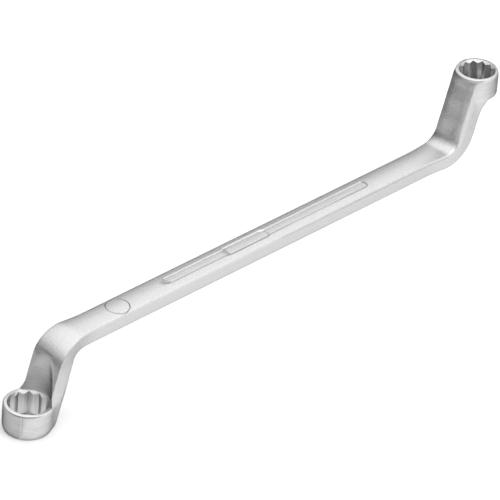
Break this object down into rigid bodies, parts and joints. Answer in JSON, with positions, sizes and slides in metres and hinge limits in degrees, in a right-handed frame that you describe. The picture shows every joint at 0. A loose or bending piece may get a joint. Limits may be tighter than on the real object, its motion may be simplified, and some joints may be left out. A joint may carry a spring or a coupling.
{
  "type": "ring spanner",
  "caption": "Double-ended deep-offset ring spanner: a straight shank with cranked necks and twelve-point ring sockets for hexagon nuts and bolt heads.",
  "frame": {"origin": "middle of the tool's length and width, in the plane of the larger ring's end face, on which the tool is set down", "axes": "+X along the shank from the larger ring to the smaller ring, +Z along both ring axes, from the larger ring up to the shank and on to the smaller ring, +Y across the tool"},
  "size_m": [0.21, 0.0158, 0.0536],
  "materials": {
    "satin_chrome": "satin"
  },
  "bodies": {
    "root": {"large_ring": "satin_chrome", "large_end_neck": "satin_chrome", "shank": "satin_chrome", "small_end_neck": "satin_chrome", "small_ring": "satin_chrome"}
  },
  "joints": []
}
